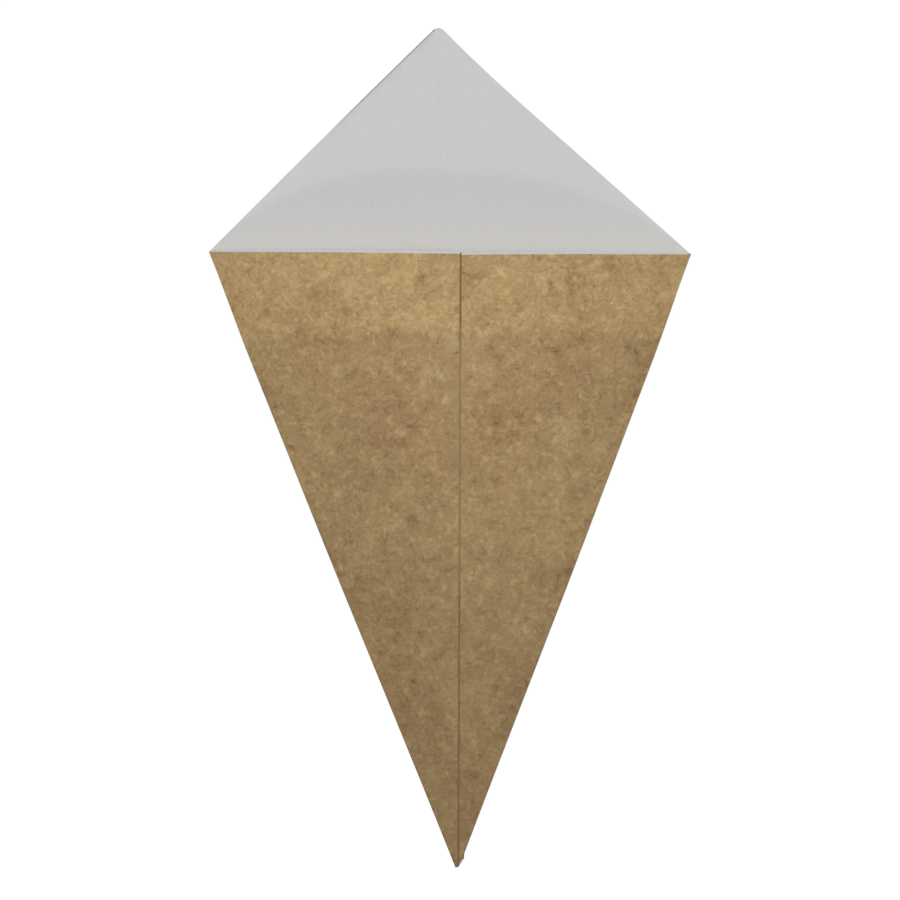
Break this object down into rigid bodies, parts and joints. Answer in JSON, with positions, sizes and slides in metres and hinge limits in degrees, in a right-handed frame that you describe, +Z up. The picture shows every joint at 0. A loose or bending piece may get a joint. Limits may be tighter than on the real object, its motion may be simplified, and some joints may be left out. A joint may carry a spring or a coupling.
{
  "type": "cone paper cup",
  "caption": "Flat-folded cone cup of white-lined kraft board, with a straight front edge at the mouth and a tall pointed back.",
  "frame": {"origin": "middle of the object's box, on the surface that it lies on", "axes": "+Y along the cone from the tip to the point of the back, +X across the mouth to the right seen from above, +Z up out of the front panels"},
  "size_m": [0.1648, 0.2898, 0.02],
  "materials": {
    "kraft_board": "matt brown kraft outside with fine fibres, plain white inside"
  },
  "bodies": {
    "root": {"paper_cone": "kraft_board"}
  },
  "joints": []
}
